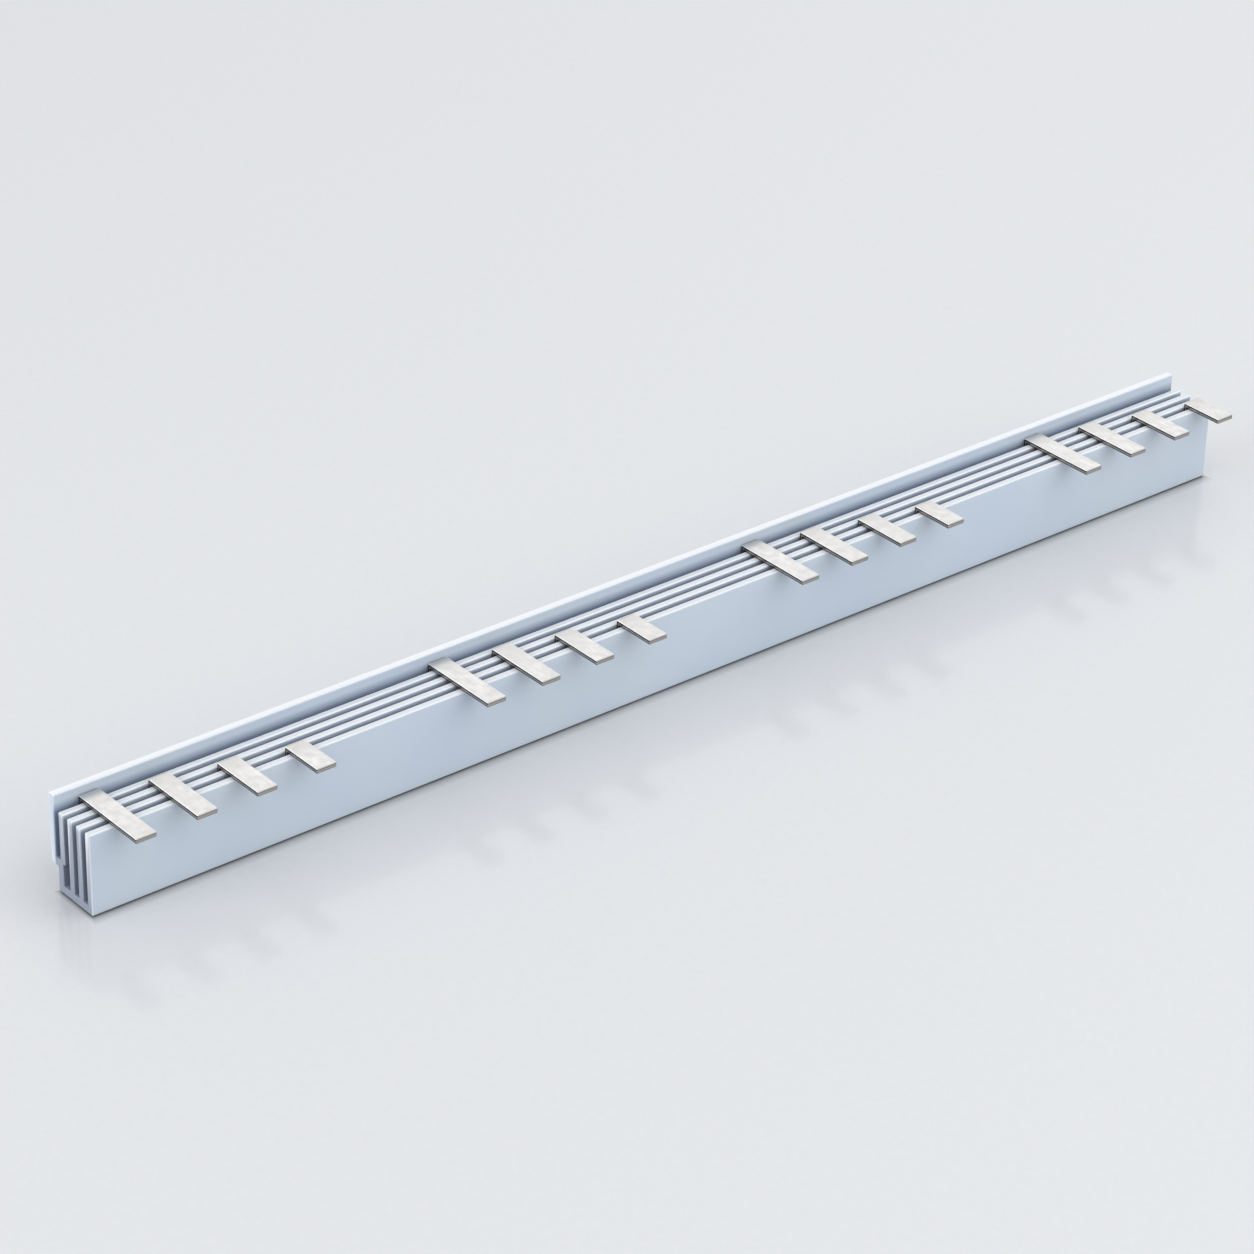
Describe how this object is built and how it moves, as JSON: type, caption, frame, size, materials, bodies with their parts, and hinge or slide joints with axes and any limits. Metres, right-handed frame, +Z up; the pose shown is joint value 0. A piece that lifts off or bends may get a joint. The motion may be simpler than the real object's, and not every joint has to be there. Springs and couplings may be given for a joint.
{
  "type": "comb busbar",
  "caption": "Long comb busbar: a stepped plastic profile with deep open slots, each holding a tinned copper comb whose flat tines bend forward over the walls.",
  "frame": {"origin": "middle of the flat base", "axes": "+X along the bar, +Y from the tines' side to the tall rear wall, +Z up, the way the walls stand"},
  "size_m": [0.388, 0.0279, 0.0273],
  "materials": {
    "profile_plastic": "light blue-grey extruded plastic, smooth semi-matt",
    "tinned_copper": "satin tin plating over copper"
  },
  "bodies": {
    "root": {"insulating_profile": "profile_plastic", "comb_rear": "tinned_copper", "comb_mid_rear": "tinned_copper", "comb_mid_front": "tinned_copper", "comb_front": "tinned_copper"}
  },
  "joints": []
}
